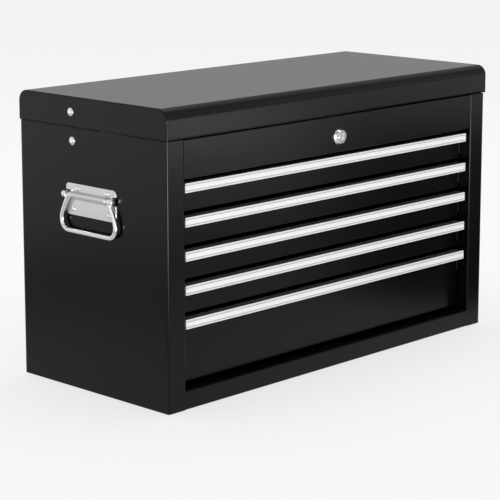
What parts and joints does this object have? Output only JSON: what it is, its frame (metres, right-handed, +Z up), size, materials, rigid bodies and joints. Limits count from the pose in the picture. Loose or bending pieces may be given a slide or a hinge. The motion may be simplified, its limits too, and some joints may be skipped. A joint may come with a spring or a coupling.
{
  "type": "five-drawer tool chest",
  "caption": "Sheet-steel top tool chest with a hinged lid over a till, full-width drawers with bright grips, a cam lock and folding side handles.",
  "frame": {"origin": "middle of the case's footprint, on the surface that it stands on", "axes": "+X along the width to the right seen from the front, -Y out of the drawer fronts, +Z up"},
  "size_m": [0.62, 0.2742, 0.363],
  "materials": {
    "black_paint": "gloss black powder coat",
    "bright_aluminium": "bright anodised extrusion",
    "zinc_plate": "bright zinc plating",
    "chrome": "polished chrome plating",
    "rivet_steel": "plated rivets",
    "bare_steel": "zinc-plated sheet steel"
  },
  "bodies": {
    "case": {"case_left_side": "black_paint", "case_right_side": "black_paint", "case_back_panel": "black_paint", "case_floor": "black_paint", "front_bottom_rail": "black_paint", "lock_panel": "black_paint", "till_floor": "black_paint", "left_inner_liner": "black_paint", "right_inner_liner": "black_paint", "left_drawer_rails": "bare_steel", "right_drawer_rails": "bare_steel", "hinge_case_leaf": "black_paint", "hinge_pin": "bare_steel", "left_handle_plate": "zinc_plate", "right_handle_plate": "zinc_plate", "left_handle_rivets": "chrome", "right_handle_rivets": "chrome", "stay_case_rivets": "rivet_steel", "lock_housing": "chrome", "lock_nut": "bare_steel"},
    "lid": {"lid_cover": "black_paint", "lid_left_end": "black_paint", "lid_right_end": "black_paint", "lid_strike": "bare_steel", "hinge_lid_leaf": "black_paint", "stay_lid_rivets": "rivet_steel"},
    "left_bail": {"left_bail": "chrome"},
    "right_bail": {"right_bail": "chrome"},
    "lock_plug": {"lock_plug": "chrome", "lock_cam": "bare_steel", "cam_screw": "bare_steel"},
    "left_case_link": {"left_stay_case_link": "bare_steel"},
    "left_lid_link": {"left_stay_lid_link": "bare_steel", "left_stay_elbow_rivet": "bare_steel"},
    "right_case_link": {"right_stay_case_link": "bare_steel"},
    "right_lid_link": {"right_stay_lid_link": "bare_steel", "right_stay_elbow_rivet": "bare_steel"},
    "drawer_1": {"drawer_1_tray": "black_paint", "drawer_1_pull": "bright_aluminium", "drawer_1_rails": "bare_steel"},
    "drawer_2": {"drawer_2_tray": "black_paint", "drawer_2_pull": "bright_aluminium", "drawer_2_rails": "bare_steel"},
    "drawer_3": {"drawer_3_tray": "black_paint", "drawer_3_pull": "bright_aluminium", "drawer_3_rails": "bare_steel"},
    "drawer_4": {"drawer_4_tray": "black_paint", "drawer_4_pull": "bright_aluminium", "drawer_4_rails": "bare_steel"},
    "drawer_5": {"drawer_5_tray": "black_paint", "drawer_5_pull": "bright_aluminium", "drawer_5_rails": "bare_steel"}
  },
  "joints": [
    {"name": "lid_hinge", "type": "hinge", "parent": "case", "child": "lid", "pos_m": [0, 0.1346, 0.3255], "axis": [-1, 0, 0], "range_deg": [0, 95]},
    {"name": "drawer_1_slide", "type": "slide", "parent": "case", "child": "drawer_1", "axis": [0, -1, 0], "range_m": [0, 0.17]},
    {"name": "drawer_2_slide", "type": "slide", "parent": "case", "child": "drawer_2", "axis": [0, -1, 0], "range_m": [0, 0.17]},
    {"name": "drawer_3_slide", "type": "slide", "parent": "case", "child": "drawer_3", "axis": [0, -1, 0], "range_m": [0, 0.17]},
    {"name": "drawer_4_slide", "type": "slide", "parent": "case", "child": "drawer_4", "axis": [0, -1, 0], "range_m": [0, 0.17]},
    {"name": "drawer_5_slide", "type": "slide", "parent": "case", "child": "drawer_5", "axis": [0, -1, 0], "range_m": [0, 0.17]},
    {"name": "left_bail_pivot", "type": "hinge", "parent": "case", "child": "left_bail", "pos_m": [-0.3055, 0, 0.2436], "axis": [0, 1, 0], "range_deg": [0, 90]},
    {"name": "right_bail_pivot", "type": "hinge", "parent": "case", "child": "right_bail", "pos_m": [0.3055, 0, 0.2436], "axis": [0, -1, 0], "range_deg": [0, 90]},
    {"name": "lock_turn", "type": "hinge", "parent": "case", "child": "lock_plug", "pos_m": [0, -0.132, 0.298], "axis": [0, 1, 0], "range_deg": [0, 90]},
    {"name": "left_case_link_pivot", "type": "hinge", "parent": "case", "child": "left_case_link", "pos_m": [-0.29775, 0.034, 0.3085], "axis": [-1, 0, 0], "range_deg": [0, 126.03]},
    {"name": "right_case_link_pivot", "type": "hinge", "parent": "case", "child": "right_case_link", "pos_m": [0.29775, 0.034, 0.3085], "axis": [-1, 0, 0], "range_deg": [0, 126.03]},
    {"name": "left_lid_link_pivot", "type": "hinge", "parent": "lid", "child": "left_lid_link", "pos_m": [-0.29595, 0.034, 0.344], "axis": [1, 0, 0], "range_deg": [0, 125.3]},
    {"name": "right_lid_link_pivot", "type": "hinge", "parent": "lid", "child": "right_lid_link", "pos_m": [0.29595, 0.034, 0.344], "axis": [1, 0, 0], "range_deg": [0, 125.3]}
  ],
  "couplings": [
    {"joint": "left_case_link_pivot", "follows": "lid_hinge", "ratio": 1.3261},
    {"joint": "right_case_link_pivot", "follows": "lid_hinge", "ratio": 1.3261},
    {"joint": "left_lid_link_pivot", "follows": "lid_hinge", "ratio": 1.3184},
    {"joint": "right_lid_link_pivot", "follows": "lid_hinge", "ratio": 1.3184}
  ]
}
